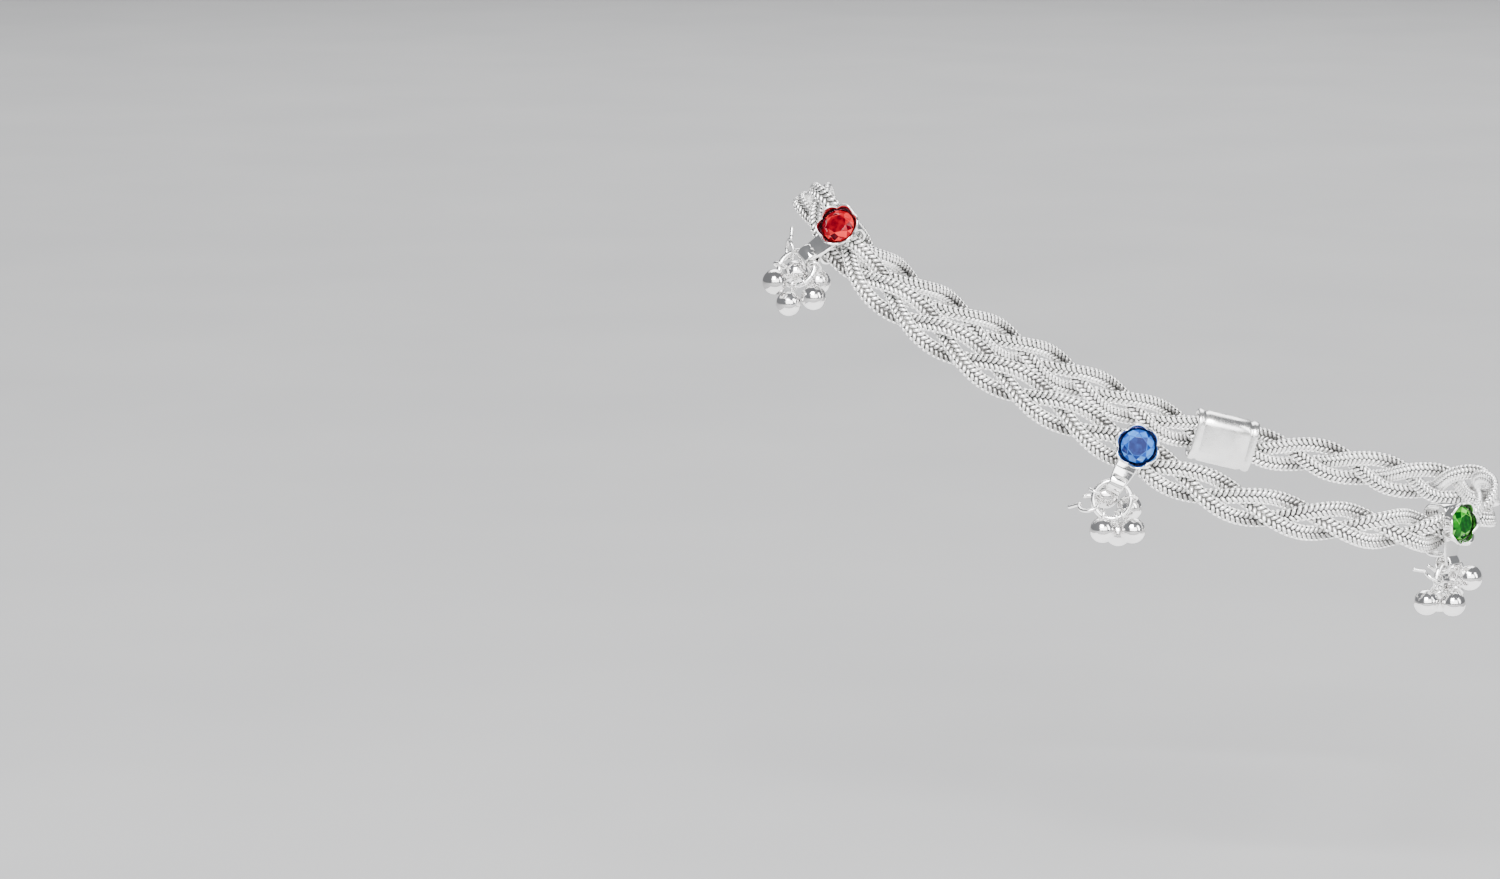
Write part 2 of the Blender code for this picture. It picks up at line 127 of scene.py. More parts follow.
def silver(name, bright, dull, rough_low, rough_high, grain, bump,
           painted_shade=None):
    """Silver whose tone and polish wander a little, with a fine grain, and
    with painted shade, darker where the mesh's recess attribute says."""
    mat, nodes, links, shader = new_material(name)
    coords = nodes.new("ShaderNodeTexCoord").outputs["Object"]
    broad = noise(nodes, links, coords, 260.0, 3.0)
    colour = ramp(nodes, links, broad, [(0.35, dull), (0.62, bright)])
    if painted_shade:
        # painted shade: mix towards a dark colour where the recess attribute is
        # high
        recess_shade = nodes.new("ShaderNodeAttribute")
        recess_shade.attribute_name = "recess_shade"
        mix = nodes.new("ShaderNodeMix")
        mix.data_type = "RGBA"
        links.new(recess_shade.outputs["Fac"], mix.inputs["Factor"])
        links.new(colour, mix.inputs[6])
        mix.inputs[7].default_value = (*painted_shade, 1.0)
        colour = mix.outputs[2]
    links.new(colour, shader.inputs["Base Color"])
    fine = noise(nodes, links, coords, grain, 4.0, 0.6)
    links.new(ramp(nodes, links, fine,
                   [(0.3, grey(rough_low)), (0.7, grey(rough_high))]),
              shader.inputs["Roughness"])
    rise = nodes.new("ShaderNodeBump")
    rise.inputs["Strength"].default_value = bump
    rise.inputs["Distance"].default_value = 0.00002
    links.new(noise(nodes, links, coords, grain * 1.7, 3.0, 0.6),
              rise.inputs["Height"])
    links.new(rise.outputs["Normal"], shader.inputs["Normal"])
    shader.inputs["Metallic"].default_value = 1.0
    return mat


# the last, dark colour of the chain's two silvers is their painted shade
WOVEN = silver("silver_links", (0.965, 0.96, 0.95), (0.88, 0.875, 0.86),
               0.26, 0.40, 2600.0, 0.35, (0.11, 0.105, 0.10))
EDGE = silver("silver_edge_wire", (0.98, 0.975, 0.965), (0.92, 0.915, 0.905),
              0.20, 0.32, 2600.0, 0.2, (0.14, 0.135, 0.13))
CORE = silver("silver_shadow", (0.085, 0.082, 0.08), (0.045, 0.043, 0.042),
              0.40, 0.60, 1800.0, 0.3)
POLISHED = silver("silver_polished", (0.95, 0.945, 0.935), (0.885, 0.88, 0.87),
                  0.05, 0.13, 1100.0, 0.25)
BELL = silver("silver_bell", (0.86, 0.85, 0.845), (0.72, 0.71, 0.705),
              0.08, 0.17, 700.0, 0.35)
SATIN = silver("silver_satin", (0.84, 0.835, 0.825), (0.70, 0.695, 0.685),
               0.20, 0.34, 900.0, 0.5)
WIRE = silver("silver_wire", (0.95, 0.945, 0.935), (0.87, 0.865, 0.855),
              0.10, 0.20, 1500.0, 0.3)


def inner_wall(name, stone_glow_tint):
    """Silver of the cup's inside, painted dark as shade and tinted as a painted
    reflection of the stone's glow.
    """
    mat, nodes, links, shader = new_material(name)
    coords = nodes.new("ShaderNodeTexCoord").outputs["Object"]
    broad = noise(nodes, links, coords, 900.0, 3.0)
    dark = tuple(0.12 + 0.40 * c for c in stone_glow_tint)
    light = tuple(0.38 + 0.45 * c for c in stone_glow_tint)
    links.new(ramp(nodes, links, broad, [(0.35, dark), (0.65, light)]),
              shader.inputs["Base Color"])
    links.new(ramp(nodes, links, noise(nodes, links, coords, 1500.0),
                   [(0.3, grey(0.12)), (0.7, grey(0.3))]),
              shader.inputs["Roughness"])
    shader.inputs["Metallic"].default_value = 1.0
    return mat


def gem(name, deep, middle, painted_glint):
    """Foil-backed glass: each facet gets its own painted tone, from deep colour
    up to a bright painted glint for the facets' reflections.
    """
    mat, nodes, links, shader = new_material(name)
    facet = nodes.new("ShaderNodeAttribute")
    facet.attribute_name = "facet"
    coords = nodes.new("ShaderNodeTexCoord").outputs["Object"]
    cloud = noise(nodes, links, coords, 1500.0, 2.0)
    mix = nodes.new("ShaderNodeMath")
    mix.operation = "MULTIPLY_ADD"
    links.new(cloud, mix.inputs[0])
    mix.inputs[1].default_value = 0.55
    links.new(facet.outputs["Fac"], mix.inputs[2])
    shift = nodes.new("ShaderNodeMath")
    shift.operation = "SUBTRACT"
    links.new(mix.outputs[0], shift.inputs[0])
    shift.inputs[1].default_value = 0.27
    colour = ramp(nodes, links, shift.outputs[0],
                  [(0.05, deep), (0.45, middle), (0.95, painted_glint)])
    links.new(colour, shader.inputs["Base Color"])
    shader.inputs["Metallic"].default_value = 0.0
    shader.inputs["IOR"].default_value = 1.5
    shader.inputs["Specular IOR Level"].default_value = 0.12
    links.new(ramp(nodes, links, noise(nodes, links, coords, 2500.0),
                   [(0.3, grey(0.03)), (0.7, grey(0.08))]),
              shader.inputs["Roughness"])
    # painted glow: the stone gives out its own colour in place of the light the
    # foil behind throws back out
    links.new(colour, shader.inputs["Emission Color"])
    shader.inputs["Emission Strength"].default_value = 0.15
    return mat


# the last colour of each stone is the painted glint of its brightest facets
GEMS = {
    "red": gem("gem_red", (0.035, 0.0, 0.003), (0.27, 0.0, 0.006),
               (0.60, 0.02, 0.022)),
    "blue": gem("gem_blue", (0.003, 0.010, 0.08), (0.009, 0.058, 0.31),
                (0.045, 0.19, 0.56)),
    "green": gem("gem_green", (0.0, 0.03, 0.002), (0.006, 0.17, 0.008),
                 (0.12, 0.50, 0.05)),
}
# each cup's inside takes its stone's colour as a painted reflection, over
# painted shade
INNER = {
    "red": inner_wall("cup_inside_red", (0.42, 0.05, 0.16)),
    "blue": inner_wall("cup_inside_blue", (0.16, 0.12, 0.42)),
    "green": inner_wall("cup_inside_green", (0.14, 0.30, 0.12)),
}


# ------------------------------------------------------------- mesh building
class Shape:
    """Points and faces gathered piece by piece, each with its material."""

    def __init__(self):
        self.verts, self.faces, self.mats, self.count = [], [], [], 0
        self.recess_shade = []

    def add(self, verts, faces, mat=0, recess_shade=None):
        verts = np.asarray(verts, dtype=float)
        self.recess_shade.append(np.zeros(len(verts)) if recess_shade is None else recess_shade)
        self.verts.append(verts)
        offset = self.count
        self.faces.extend([[int(i) + offset for i in face] for face in faces])
        self.mats.extend([mat] * len(faces))
        self.count += len(verts)

    def build(self, name, node, materials, matrix=None, sharp=None,
              weld=0.0):
        points = np.concatenate(self.verts) * MM
        mesh = bpy.data.meshes.new(name)
        mesh.from_pydata(points.tolist(), [], self.faces)
        for mat in materials:
            mesh.materials.append(mat)
        mesh.polygons.foreach_set("material_index", self.mats)
        if weld:
            bm = bmesh.new()
            bm.from_mesh(mesh)
            bmesh.ops.remove_doubles(bm, verts=bm.verts, dist=weld * MM)
            bm.to_mesh(mesh)
            bm.free()
        if matrix is not None:
            mesh.transform(matrix)
        # the painted shade per point, stored for the silver materials to read
        tones = np.concatenate(self.recess_shade)
        if tones.any() and not weld:
            layer = mesh.attributes.new("recess_shade", "FLOAT", "POINT")
            layer.data.foreach_set("value", tones.astype(np.float32))
        mesh.shade_smooth()
        if sharp is not None:
            mesh.set_sharp_from_angle(angle=math.radians(sharp))
        mesh.update()
        piece = bpy.data.objects.new(name, mesh)
        bpy.context.scene.collection.objects.link(piece)
        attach(piece, "root")
        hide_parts(node)
        return piece


def grid_faces(rows, columns, wrap_rows=False, wrap_columns=True, start=0):
    """Faces between rows of points laid one after another."""
    faces = []
    for i in range(rows if wrap_rows else rows - 1):
        a, b = i * columns, ((i + 1) % rows) * columns
        for j in range(columns if wrap_columns else columns - 1):
            k = (j + 1) % columns
            faces.append((start + a + j, start + a + k,
                          start + b + k, start + b + j))
    return faces


def millimetres(matrix):
    """The same frame with its place given in metres."""
    out = matrix.copy()
    out.translation = out.translation * MM
    return out


def unit_ball(segments, rings):
    """A ball of radius one as points and faces, poles on Z."""
    points = [(0.0, 0.0, 1.0)]
    for i in range(1, rings):
        polar = math.pi * i / rings
        for j in range(segments):
            turn = 2 * math.pi * j / segments
            points.append((math.sin(polar) * math.cos(turn),
                           math.sin(polar) * math.sin(turn),
                           math.cos(polar)))
    points.append((0.0, 0.0, -1.0))
    last = len(points) - 1
    faces = [(0, 1 + j, 1 + (j + 1) % segments) for j in range(segments)]
    faces += grid_faces(rings - 1, segments, start=1)
    faces = [tuple(f) for f in faces]
    # quads run the other way round to keep the outside out
    faces = [f if len(f) == 3 else (f[0], f[3], f[2], f[1]) for f in faces]
    base = 1 + (rings - 2) * segments
    faces += [(last, base + (j + 1) % segments, base + j)
              for j in range(segments)]
    return np.array(points), faces


def sweep(points, normals, section, closed=False, scale=None):
    """Carry a section (pairs across the normal and the binormal) along points.

    The section runs anticlockwise seen from ahead; open ends are capped.
    """
    points = np.asarray(points, dtype=float)
    normals = np.asarray(normals, dtype=float)
    if closed:
        ahead = np.roll(points, -1, 0) - np.roll(points, 1, 0)
    else:
        ahead = np.gradient(points, axis=0)
    ahead /= np.linalg.norm(ahead, axis=1)[:, None]
    normals = normals - (normals * ahead).sum(1)[:, None] * ahead
    normals /= np.linalg.norm(normals, axis=1)[:, None]
    sides = np.cross(ahead, normals)
    section = np.asarray(section, dtype=float)
    if scale is None:
        scale = np.ones(len(points))
    rows = [points[i] + scale[i] * (section[:, :1] * normals[i]
                                    + section[:, 1:2] * sides[i])
            for i in range(len(points))]
    count, size = len(points), len(section)
    faces = grid_faces(count, size, wrap_rows=closed)
    if not closed:
        faces.append(tuple(reversed(range(size))))
        faces.append(tuple((count - 1) * size + j for j in range(size)))
    return np.concatenate(rows), faces


def circle_section(radius, sides):
    return [(radius * math.cos(2 * math.pi * j / sides),
             radius * math.sin(2 * math.pi * j / sides))
            for j in range(sides)]


def rounded_rectangle(high, wide, radius, steps):
    """Points of a rounded rectangle, anticlockwise from the +,+ corner."""
    points = []
    for corner, (sx, sy) in enumerate(((1, 1), (-1, 1), (-1, -1), (1, -1))):
        for i in range(steps + 1):
            turn = math.pi / 2 * (corner + i / steps)
            points.append((sx * (high / 2 - radius) + radius * math.cos(turn),
                           sy * (wide / 2 - radius) + radius * math.sin(turn)))
    return points


def lathe(profile, segments, wave=None):
    """Turn (radius, height) pairs about Z; wave(turn, i) shifts a point."""
    verts = []
    for i, (radius, height) in enumerate(profile):
        for j in range(segments):
            turn = 2 * math.pi * j / segments
            dr, dh = wave(turn, i) if wave else (0.0, 0.0)
            verts.append(((radius + dr) * math.cos(turn),
                          (radius + dr) * math.sin(turn), height + dh))
    return verts, grid_faces(len(profile), segments)


def smooth_profile(points, per=5):
    """A Catmull-Rom curve through the profile's points."""
    points = [np.array(p, dtype=float) for p in points]
    out = []
    for i in range(len(points) - 1):
        p0 = points[max(i - 1, 0)]
        p1, p2 = points[i], points[i + 1]
        p3 = points[min(i + 2, len(points) - 1)]
        for k in range(per):
            t = k / per
            out.append(0.5 * ((2 * p1) + (p2 - p0) * t
                              + (2 * p0 - 5 * p1 + 4 * p2 - p3) * t * t
                              + (3 * p1 - p0 - 3 * p2 + p3) * t ** 3))
    out.append(points[-1])
    return out


# -------------------------------------------------------------- the plait's way
class Loop:
    """A closed smooth curve through the loop's points, read by arc length."""

    def __init__(self, half):
        back = [(x, -y, z, lean) for x, y, z, lean in half[-2:0:-1]]
        points = np.array(half + back, dtype=float)
        n = len(points)
        chord = np.linalg.norm(np.roll(points[:, :3], -1, 0) - points[:, :3],
                               axis=1)
        knots = np.concatenate([[0.0], np.cumsum(chord)])
        matrix = np.zeros((n, n))
        right = np.zeros((n, 4))
        for i in range(n):
            before, after = chord[i - 1], chord[i]
            matrix[i, i - 1] += before
            matrix[i, i] += 2 * (before + after)
            matrix[i, (i + 1) % n] += after
            right[i] = 6 * ((points[(i + 1) % n] - points[i]) / after
                            - (points[i] - points[i - 1]) / before)
        self.m = np.linalg.solve(matrix, right)
        self.points, self.chord, self.knots, self.n = points, chord, knots, n
        self.fine = np.linspace(0, knots[-1], 6001)
        line = self.raw(self.fine)[:, :3]
        steps = np.linalg.norm(np.diff(line, axis=0), axis=1)
        self.arc = np.concatenate([[0.0], np.cumsum(steps)])
        self.length = float(self.arc[-1])

    def raw(self, t):
        t = np.asarray(t, dtype=float) % self.knots[-1]
        i = np.clip(np.searchsorted(self.knots, t, side="right") - 1,
                    0, self.n - 1)
        j, h = (i + 1) % self.n, self.chord[i]
        a, b = (self.knots[i] + h - t)[:, None], (t - self.knots[i])[:, None]
        h = h[:, None]
        return (self.m[i] * a ** 3 / (6 * h) + self.m[j] * b ** 3 / (6 * h)
                + (self.points[i] / h - self.m[i] * h / 6) * a
                + (self.points[j] / h - self.m[j] * h / 6) * b)

    def frames(self, s):
        """Points, directions, outward faces and upward edges at lengths s."""
        s = np.atleast_1d(np.asarray(s, dtype=float))
        t = np.interp(s % self.length, self.arc, self.fine)
        here = self.raw(t)
        along = (self.raw(t + 0.05) - self.raw(t - 0.05))[:, :3]
        along /= np.linalg.norm(along, axis=1)[:, None]
        level = np.stack([along[:, 1], -along[:, 0], np.zeros(len(s))], 1)
        level /= np.linalg.norm(level, axis=1)[:, None]
        lean = np.radians(here[:, 3])[:, None]
        rise = np.tile([0.0, 0.0, 1.0], (len(s), 1))
        rise = rise - (rise * along).sum(1)[:, None] * along
        rise /= np.linalg.norm(rise, axis=1)[:, None]
        out = level * np.cos(lean) + rise * np.sin(lean)
        out /= np.linalg.norm(out, axis=1)[:, None]
        up = np.cross(out, along)
        up /= np.linalg.norm(up, axis=1)[:, None]
        return here[:, :3], along, out, up


loop = Loop(HALF_LOOP)


def station_matrix(s):
    here, along, out, up = (Vector(v[0]) for v in loop.frames(s))
    return Matrix((
        (along.x, -out.x, up.x, here.x), (along.y, -out.y, up.y, here.y),
        (along.z, -out.z, up.z, here.z), (0, 0, 0, 1)))


clasp_at = CLASP_MIDDLE * loop.length
strand_start = (clasp_at + CLASP_LENGTH / 2 - STRAND_IN_SOCKET) - loop.length
strand_end = clasp_at - CLASP_LENGTH / 2 + STRAND_IN_SOCKET


def strand_centres(s, turn):
    here, along, out, up = loop.frames(s)
    angle = 2 * np.pi * (s - PLAIT_START) / PLAIT_PERIOD + turn
    return (here + up * (SWING * np.sin(angle))[:, None]
            + out * (WEAVE * np.sin(2 * angle))[:, None]), angle, out


def strand_frames(s, turn):
    """Centre, direction, outer face and upper edge along one strand."""
    centre, angle, out = strand_centres(s, turn)
    along = (strand_centres(s + 0.1, turn)[0]
             - strand_centres(s - 0.1, turn)[0])
    along /= np.linalg.norm(along, axis=1)[:, None]
    out = out - (out * along).sum(1)[:, None] * along
    out /= np.linalg.norm(out, axis=1)[:, None]
    side = np.cross(out, along)
    roll = (math.radians(STRAND_ROLL) * np.cos(angle))[:, None]
    return (centre, along, out * np.cos(roll) - side * np.sin(roll),
            side * np.cos(roll) + out * np.sin(roll))


# ------------------------------------------------------------- woven chains
LINK_PITCH = 0.66       # spacing of the links along a chain
LINK_SLANT = 50.0       # degrees between a link and the chain's length
rng = np.random.default_rng(7)


def woven_chain(letter, turn):
    """Rows of small slanted links, mirrored about the chain's middle line on
    both of its faces, with a wire of small beads along each edge."""
    rows = int(round((strand_end - strand_start) / LINK_PITCH))
    s = strand_start + (np.arange(rows) + 0.5) * (
        (strand_end - strand_start) / rows)
    ball, ball_faces = unit_ball(8, 5)
    # blunter ends than an ellipse's
    round_angle = np.arctan2(ball[:, 1], ball[:, 0])
    ball[:, :2] *= ((np.abs(np.cos(round_angle)) ** 2.8
                     + np.abs(np.sin(round_angle)) ** 2.8)
                    ** (-1 / 2.8))[:, None]
    links, mats, depths = [], [], []
    slant = math.radians(LINK_SLANT)
    for face_side in (1, -1):
        for edge_side in (1, -1):
            shifted = s + (0.0 if edge_side > 0 else LINK_PITCH / 2)
            c, a, f, e = strand_frames(shifted, turn)
            wander = rng.normal(0, 1, (rows, 4))
            tilt = slant + wander[:, :1] * 0.05
            long_axis = a * np.cos(tilt) + e * edge_side * np.sin(tilt)
            cross_axis = np.cross(f, long_axis)
            lift = f * face_side
            centre = (c + e * edge_side * 0.43
                      + lift * (0.215 + wander[:, 1:2] * 0.006))
            links.append((centre, long_axis * (0.55 + wander[:, 2:3] * 0.012),
                          cross_axis * (0.262 + wander[:, 3:4] * 0.006),
                          lift * 0.235))
            mats.append(0)
            # how far this face dives under the other strands, for the painted
            # shade
            weave = np.sin(4 * np.pi * (shifted - PLAIT_START) / PLAIT_PERIOD
                           + 2 * turn)
            depths.append(np.clip(-weave * face_side, 0, 1) ** 0.8)
    for edge_side in (1, -1):
        c, a, f, e = strand_frames(s + LINK_PITCH * 0.25, turn)
        wander = rng.normal(0, 1, (rows, 2))
        links.append((c + e * edge_side * 0.88,
                      a * (0.37 + wander[:, :1] * 0.008),
                      e * (0.165 + wander[:, 1:] * 0.004), f * 0.40))
        mats.append(1)
        depths.append(np.zeros(rows))
    shape = Shape()
    for (centre, x_axis, y_axis, z_axis), mat, depth in zip(links, mats,
                                                            depths):
        cloud = (centre[:, None, :]
                 + ball[None, :, 0:1] * x_axis[:, None, :]
                 + ball[None, :, 1:2] * y_axis[:, None, :]
                 + ball[None, :, 2:3] * z_axis[:, None, :])
        # a mirrored set of axes would turn the ball inside out
        hand = np.einsum("ij,ij->i", np.cross(x_axis, y_axis), z_axis)
        every = []
        for i in range(rows):
            base = i * len(ball)
            for face in ball_faces:
                face = tuple(base + v for v in face)
                every.append(face if hand[i] > 0 else tuple(reversed(face)))
        # painted shade: darker low on each link and on the stretches that dive
        low = np.clip((0.25 - ball[:, 2]) / 0.6, 0, 1) * (0.9 if mat == 0
                                                           else 0.0)
        recess_shade = np.maximum(low[None, :], 0.62 * depth[:, None])
        shape.add(cloud.reshape(-1, 3), every, mat, recess_shade.reshape(-1))
    # the shadowed middle that the links stand on
    along = np.linspace(strand_start, strand_end, 260)
    c, a, f, e = strand_frames(along, turn)
    sides = 10
    rows_out = []
    for j in range(sides):
        round_angle = 2 * math.pi * j / sides
        rows_out.append(c + e * 0.84 * math.cos(round_angle)
                        + f * 0.15 * math.sin(round_angle))
    core = np.stack(rows_out, 1).reshape(-1, 3)
    faces = grid_faces(len(along), sides)
    faces.append(tuple(reversed(range(sides))))
    faces.append(tuple((len(along) - 1) * sides + j for j in range(sides)))
    shape.add(core, faces, 2)
    return shape.build("woven_chain_" + letter, "strand_" + letter,
                       [WOVEN, EDGE, CORE])


for index, letter in enumerate("abc"):
    woven_chain(letter, index * 2 * math.pi / 3)


# ---------------------------------------------------------------- settings
def outward(points):
    """From a frame whose Z is outward to one whose -Y is outward."""
    points = np.asarray(points, dtype=float)
    return np.stack([points[:, 0], -points[:, 2], points[:, 1]], 1)


def setting(colour, place):
    """The strap round the plait, its rolled tube and the stone's cup."""
    matrix = millimetres(station_matrix(place))
    high, deep = STRAP_OPENING
    shape = Shape()
    # strap: a thin band with soft edges taken round the plait
    path = rounded_rectangle(high + STRAP_WALL, deep + STRAP_WALL, 1.15, 10)
    path = np.array([(0.0, y, z) for z, y in path])
    middle = np.array([0.0, 0.0, 0.0])
    normals = path - middle
    normals[:, 2] *= 0.45
    band = rounded_rectangle(STRAP_WALL, STRAP_WIDTH, 0.18, 4)
    # slightly narrower over the top fold, and more over the bottom fold
    width = np.array([1.0 - 0.10 * max(0.0, p[2] / (high / 2)) ** 3
                      - 0.16 * max(0.0, -p[2] / (high / 2)) ** 2
                      for p in path])
    verts, faces = sweep(path, normals, band, closed=True)
    size = len(band)
    verts = verts.reshape(len(path), size, 3)
    verts[:, :, 0] *= width[:, None]
    shape.add(verts.reshape(-1, 3), faces, 0)
    # tail: from the strap's lower outer edge down to the tube, narrowing
    front = -(deep / 2 + STRAP_WALL)
    rows = []
    steps = 12
    for i in range(steps + 1):
        t = i / steps
        z = -1.6 - t * (TUBE_DROP + 0.15 - 1.6)
        half_width = (1.0 - t) ** 0.7 * 0.42 + TUBE_LENGTH / 2
        y_out = front + 0.02 - 0.12 * t * 0
        thick = 0.42
        section = rounded_rectangle(2 * half_width, thick, 0.15, 3)
        rows.append([(x, y_out + thick / 2 + y, z) for x, y in section])
    size = len(rows[0])
    verts = np.array(rows).reshape(-1, 3)
    faces = grid_faces(len(rows), size)
    faces.append(tuple(reversed(range(size))))
    faces.append(tuple((len(rows) - 1) * size + j for j in range(size)))
    shape.add(verts, [tuple(reversed(f)) for f in faces], 0)
    # rolled tube
    half = TUBE_LENGTH / 2
    lip = (TUBE_OUTER - TUBE_INNER) / 2
    profile = [(TUBE_INNER, half - lip)]
    for i in range(7):
        turn = math.pi * i / 6
        profile.append((TUBE_INNER + lip + lip * -math.cos(turn),
                        half - lip + lip * math.sin(turn)))
    for i in range(7):
        turn = math.pi * i / 6
        profile.append((TUBE_INNER + lip + lip * math.cos(turn),
                        -half + lip - lip * math.sin(turn)))
    profile.append((TUBE_INNER, half - lip))
    verts, faces = lathe(profile, 40)
    verts = [(z, -TUBE_OUT + x, -TUBE_DROP + y) for x, y, z in verts]
    shape.add(verts, [tuple(reversed(f)) for f in faces], 0)
    # cup: turned, its rim cut into low rounded petals
    base = 0.0
    outer = smooth_profile([
        (0.02, base), (CUP_BASE * 0.8, base), (CUP_BASE + 0.35, base + 0.25),
        (CUP_RIM_OUTER - 0.28, CUP_HEIGHT * 0.42),
        (CUP_RIM_OUTER - 0.1, CUP_HEIGHT * 0.72),
        (CUP_RIM_OUTER + 0.02, CUP_HEIGHT - 0.08),
        (CUP_RIM_OUTER - 0.06, CUP_HEIGHT + 0.13),
        (CUP_RIM_INNER + 0.06, CUP_HEIGHT + 0.14),
        (CUP_RIM_INNER - 0.04, CUP_HEIGHT - 0.08)], 5)
    inner = smooth_profile([
        (CUP_RIM_INNER - 0.04, CUP_HEIGHT - 0.08),
        (CUP_RIM_INNER - 0.07, CUP_HEIGHT - 0.5),
        (CUP_RIM_INNER - 0.1, CUP_HEIGHT - 0.95),
        (CUP_BASE, 0.75), (0.9, 0.42), (0.02, 0.4)], 4)
    petals = 6
    segments = 96

    def wave_for(points):
        def wave(turn, i):
            height = points[i][1]
            near_rim = max(0.0, (height - CUP_HEIGHT * 0.45)
                           / (CUP_HEIGHT * 0.55)) ** 2
            lobe = abs(math.cos(petals / 2 * turn))
            return (0.24 * near_rim * (lobe - 0.45),
                    0.42 * near_rim * (lobe - 0.70))
        return wave

    verts, faces = lathe(outer, segments, wave_for(outer))
    faces.append(tuple(reversed(range(segments))))
    seat = front + 0.25
    verts = outward(verts) + np.array([0.0, seat, CUP_RISE])
    shape.add(verts, faces, 0)
    verts, faces = lathe(inner, segments, wave_for(inner))
    faces.append(tuple(range(len(verts) - segments, len(verts))))
    verts = outward(verts) + np.array([0.0, seat, CUP_RISE])
    shape.add(verts, faces, 1)
    shape.build("stone_setting_" + colour, "setting_" + colour,
                [POLISHED, INNER[colour]], matrix, 50,
                weld=0.0004)


def cut_stone(colour, place):
    """A round brilliant: table, stars, kites, girdle facets and pavilion."""
    matrix = millimetres(station_matrix(place))
    top = GIRDLE + CROWN

    def ring(radius, height, count, start=0.0):
        return [(radius * math.cos(2 * math.pi * (k + start) / count),
                 radius * math.sin(2 * math.pi * (k + start) / count), height)
                for k in range(count)]

    table = ring(TABLE_RADIUS, top, 8)
    kite = ring(1.76, GIRDLE + 0.42, 8, 0.5)
    girdle = ring(STONE_RADIUS - 0.07, GIRDLE, 16)
    lower = ring(STONE_RADIUS - 0.07, 0.0, 16)
    culet = ring(0.55, -PAVILION, 16)
    points = table + kite + girdle + lower + culet
    T, K, G, L, C = 0, 8, 16, 32, 48
    faces = [tuple(range(8))]
    for k in range(8):
        following, before = (k + 1) % 8, (k - 1) % 8
        faces.append((T + k, K + k, T + following))
        faces.append((T + k, K + before, G + 2 * k, K + k))
        faces.append((K + k, G + 2 * k, G + 2 * k + 1))
        faces.append((K + k, G + 2 * k + 1, G + (2 * k + 2) % 16))
    faces += [tuple(reversed(f)) for f in
              grid_faces(3, 16, start=G)]
    faces.append(tuple(reversed(range(C, C + 16))))
    front = -(STRAP_OPENING[1] / 2 + STRAP_WALL)
    seat = front + 0.25 - (CUP_HEIGHT - 0.62)
    # bevel the arrises very slightly so that they catch the light
    mesh = bpy.data.meshes.new("cut_stone_" + colour)
    mesh.from_pydata([tuple(v * MM for v in p) for p in points], [], faces)
    bm = bmesh.new()
    bm.from_mesh(mesh)
    bmesh.ops.recalc_face_normals(bm, faces=bm.faces)
    bmesh.ops.bevel(bm, geom=list(bm.edges), offset=0.028 * MM, segments=1,
                    profile=0.5, affect="EDGES")
    place_matrix = (matrix @ Matrix.Translation(
        Vector((0, seat, CUP_RISE)) * MM) @ Matrix.Rotation(
            math.pi / 2, 4, "X"))
    bmesh.ops.transform(bm, verts=bm.verts, matrix=place_matrix)
    bm.to_mesh(mesh)
    bm.free()
    mesh.materials.append(GEMS[colour])
    # each facet's place on the ramp from deep colour up to the painted glint, a
    # fixed hash of its normal
    tone = mesh.attributes.new("facet", "FLOAT", "FACE")
    values = []
    for polygon in mesh.polygons:
        key = polygon.normal
        mixed = (math.sin(key.x * 37.1 + key.y * 61.7 + key.z * 23.3
                          + len(colour) * 3.7) * 4375.85)
        values.append(mixed - math.floor(mixed))
    tone.data.foreach_set("value", values)
    piece = bpy.data.objects.new("cut_stone_" + colour, mesh)
    bpy.context.scene.collection.objects.link(piece)
    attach(piece, "root")
    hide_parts("stone_" + colour)


# -------------------------------------------------------------------- drops
def ring_matrix(place):
    here, along, out, up = (Vector(v[0]) for v in loop.frames(place))
    tube_middle = here + out * TUBE_OUT - up * TUBE_DROP
    down = Vector((0, 0, -1))
    down = (down - down.dot(out) * out).normalized()
    swing = math.atan2(down.dot(along), down.dot(-up))
    turn = max(-RING_PLAY, min(RING_PLAY, math.degrees(swing)))
    turn = math.radians(turn)
    hang = along * math.sin(turn) - up * math.cos(turn)
    middle = tube_middle + hang * (RING_RADIUS - RING_LIFT)
    z_axis = -down
    y_axis = -out
    x_axis = y_axis.cross(z_axis)
    return Matrix((
        (x_axis.x, y_axis.x, z_axis.x, middle.x),
        (x_axis.y, y_axis.y, z_axis.y, middle.y),
        (x_axis.z, y_axis.z, z_axis.z, middle.z), (0, 0, 0, 1)))


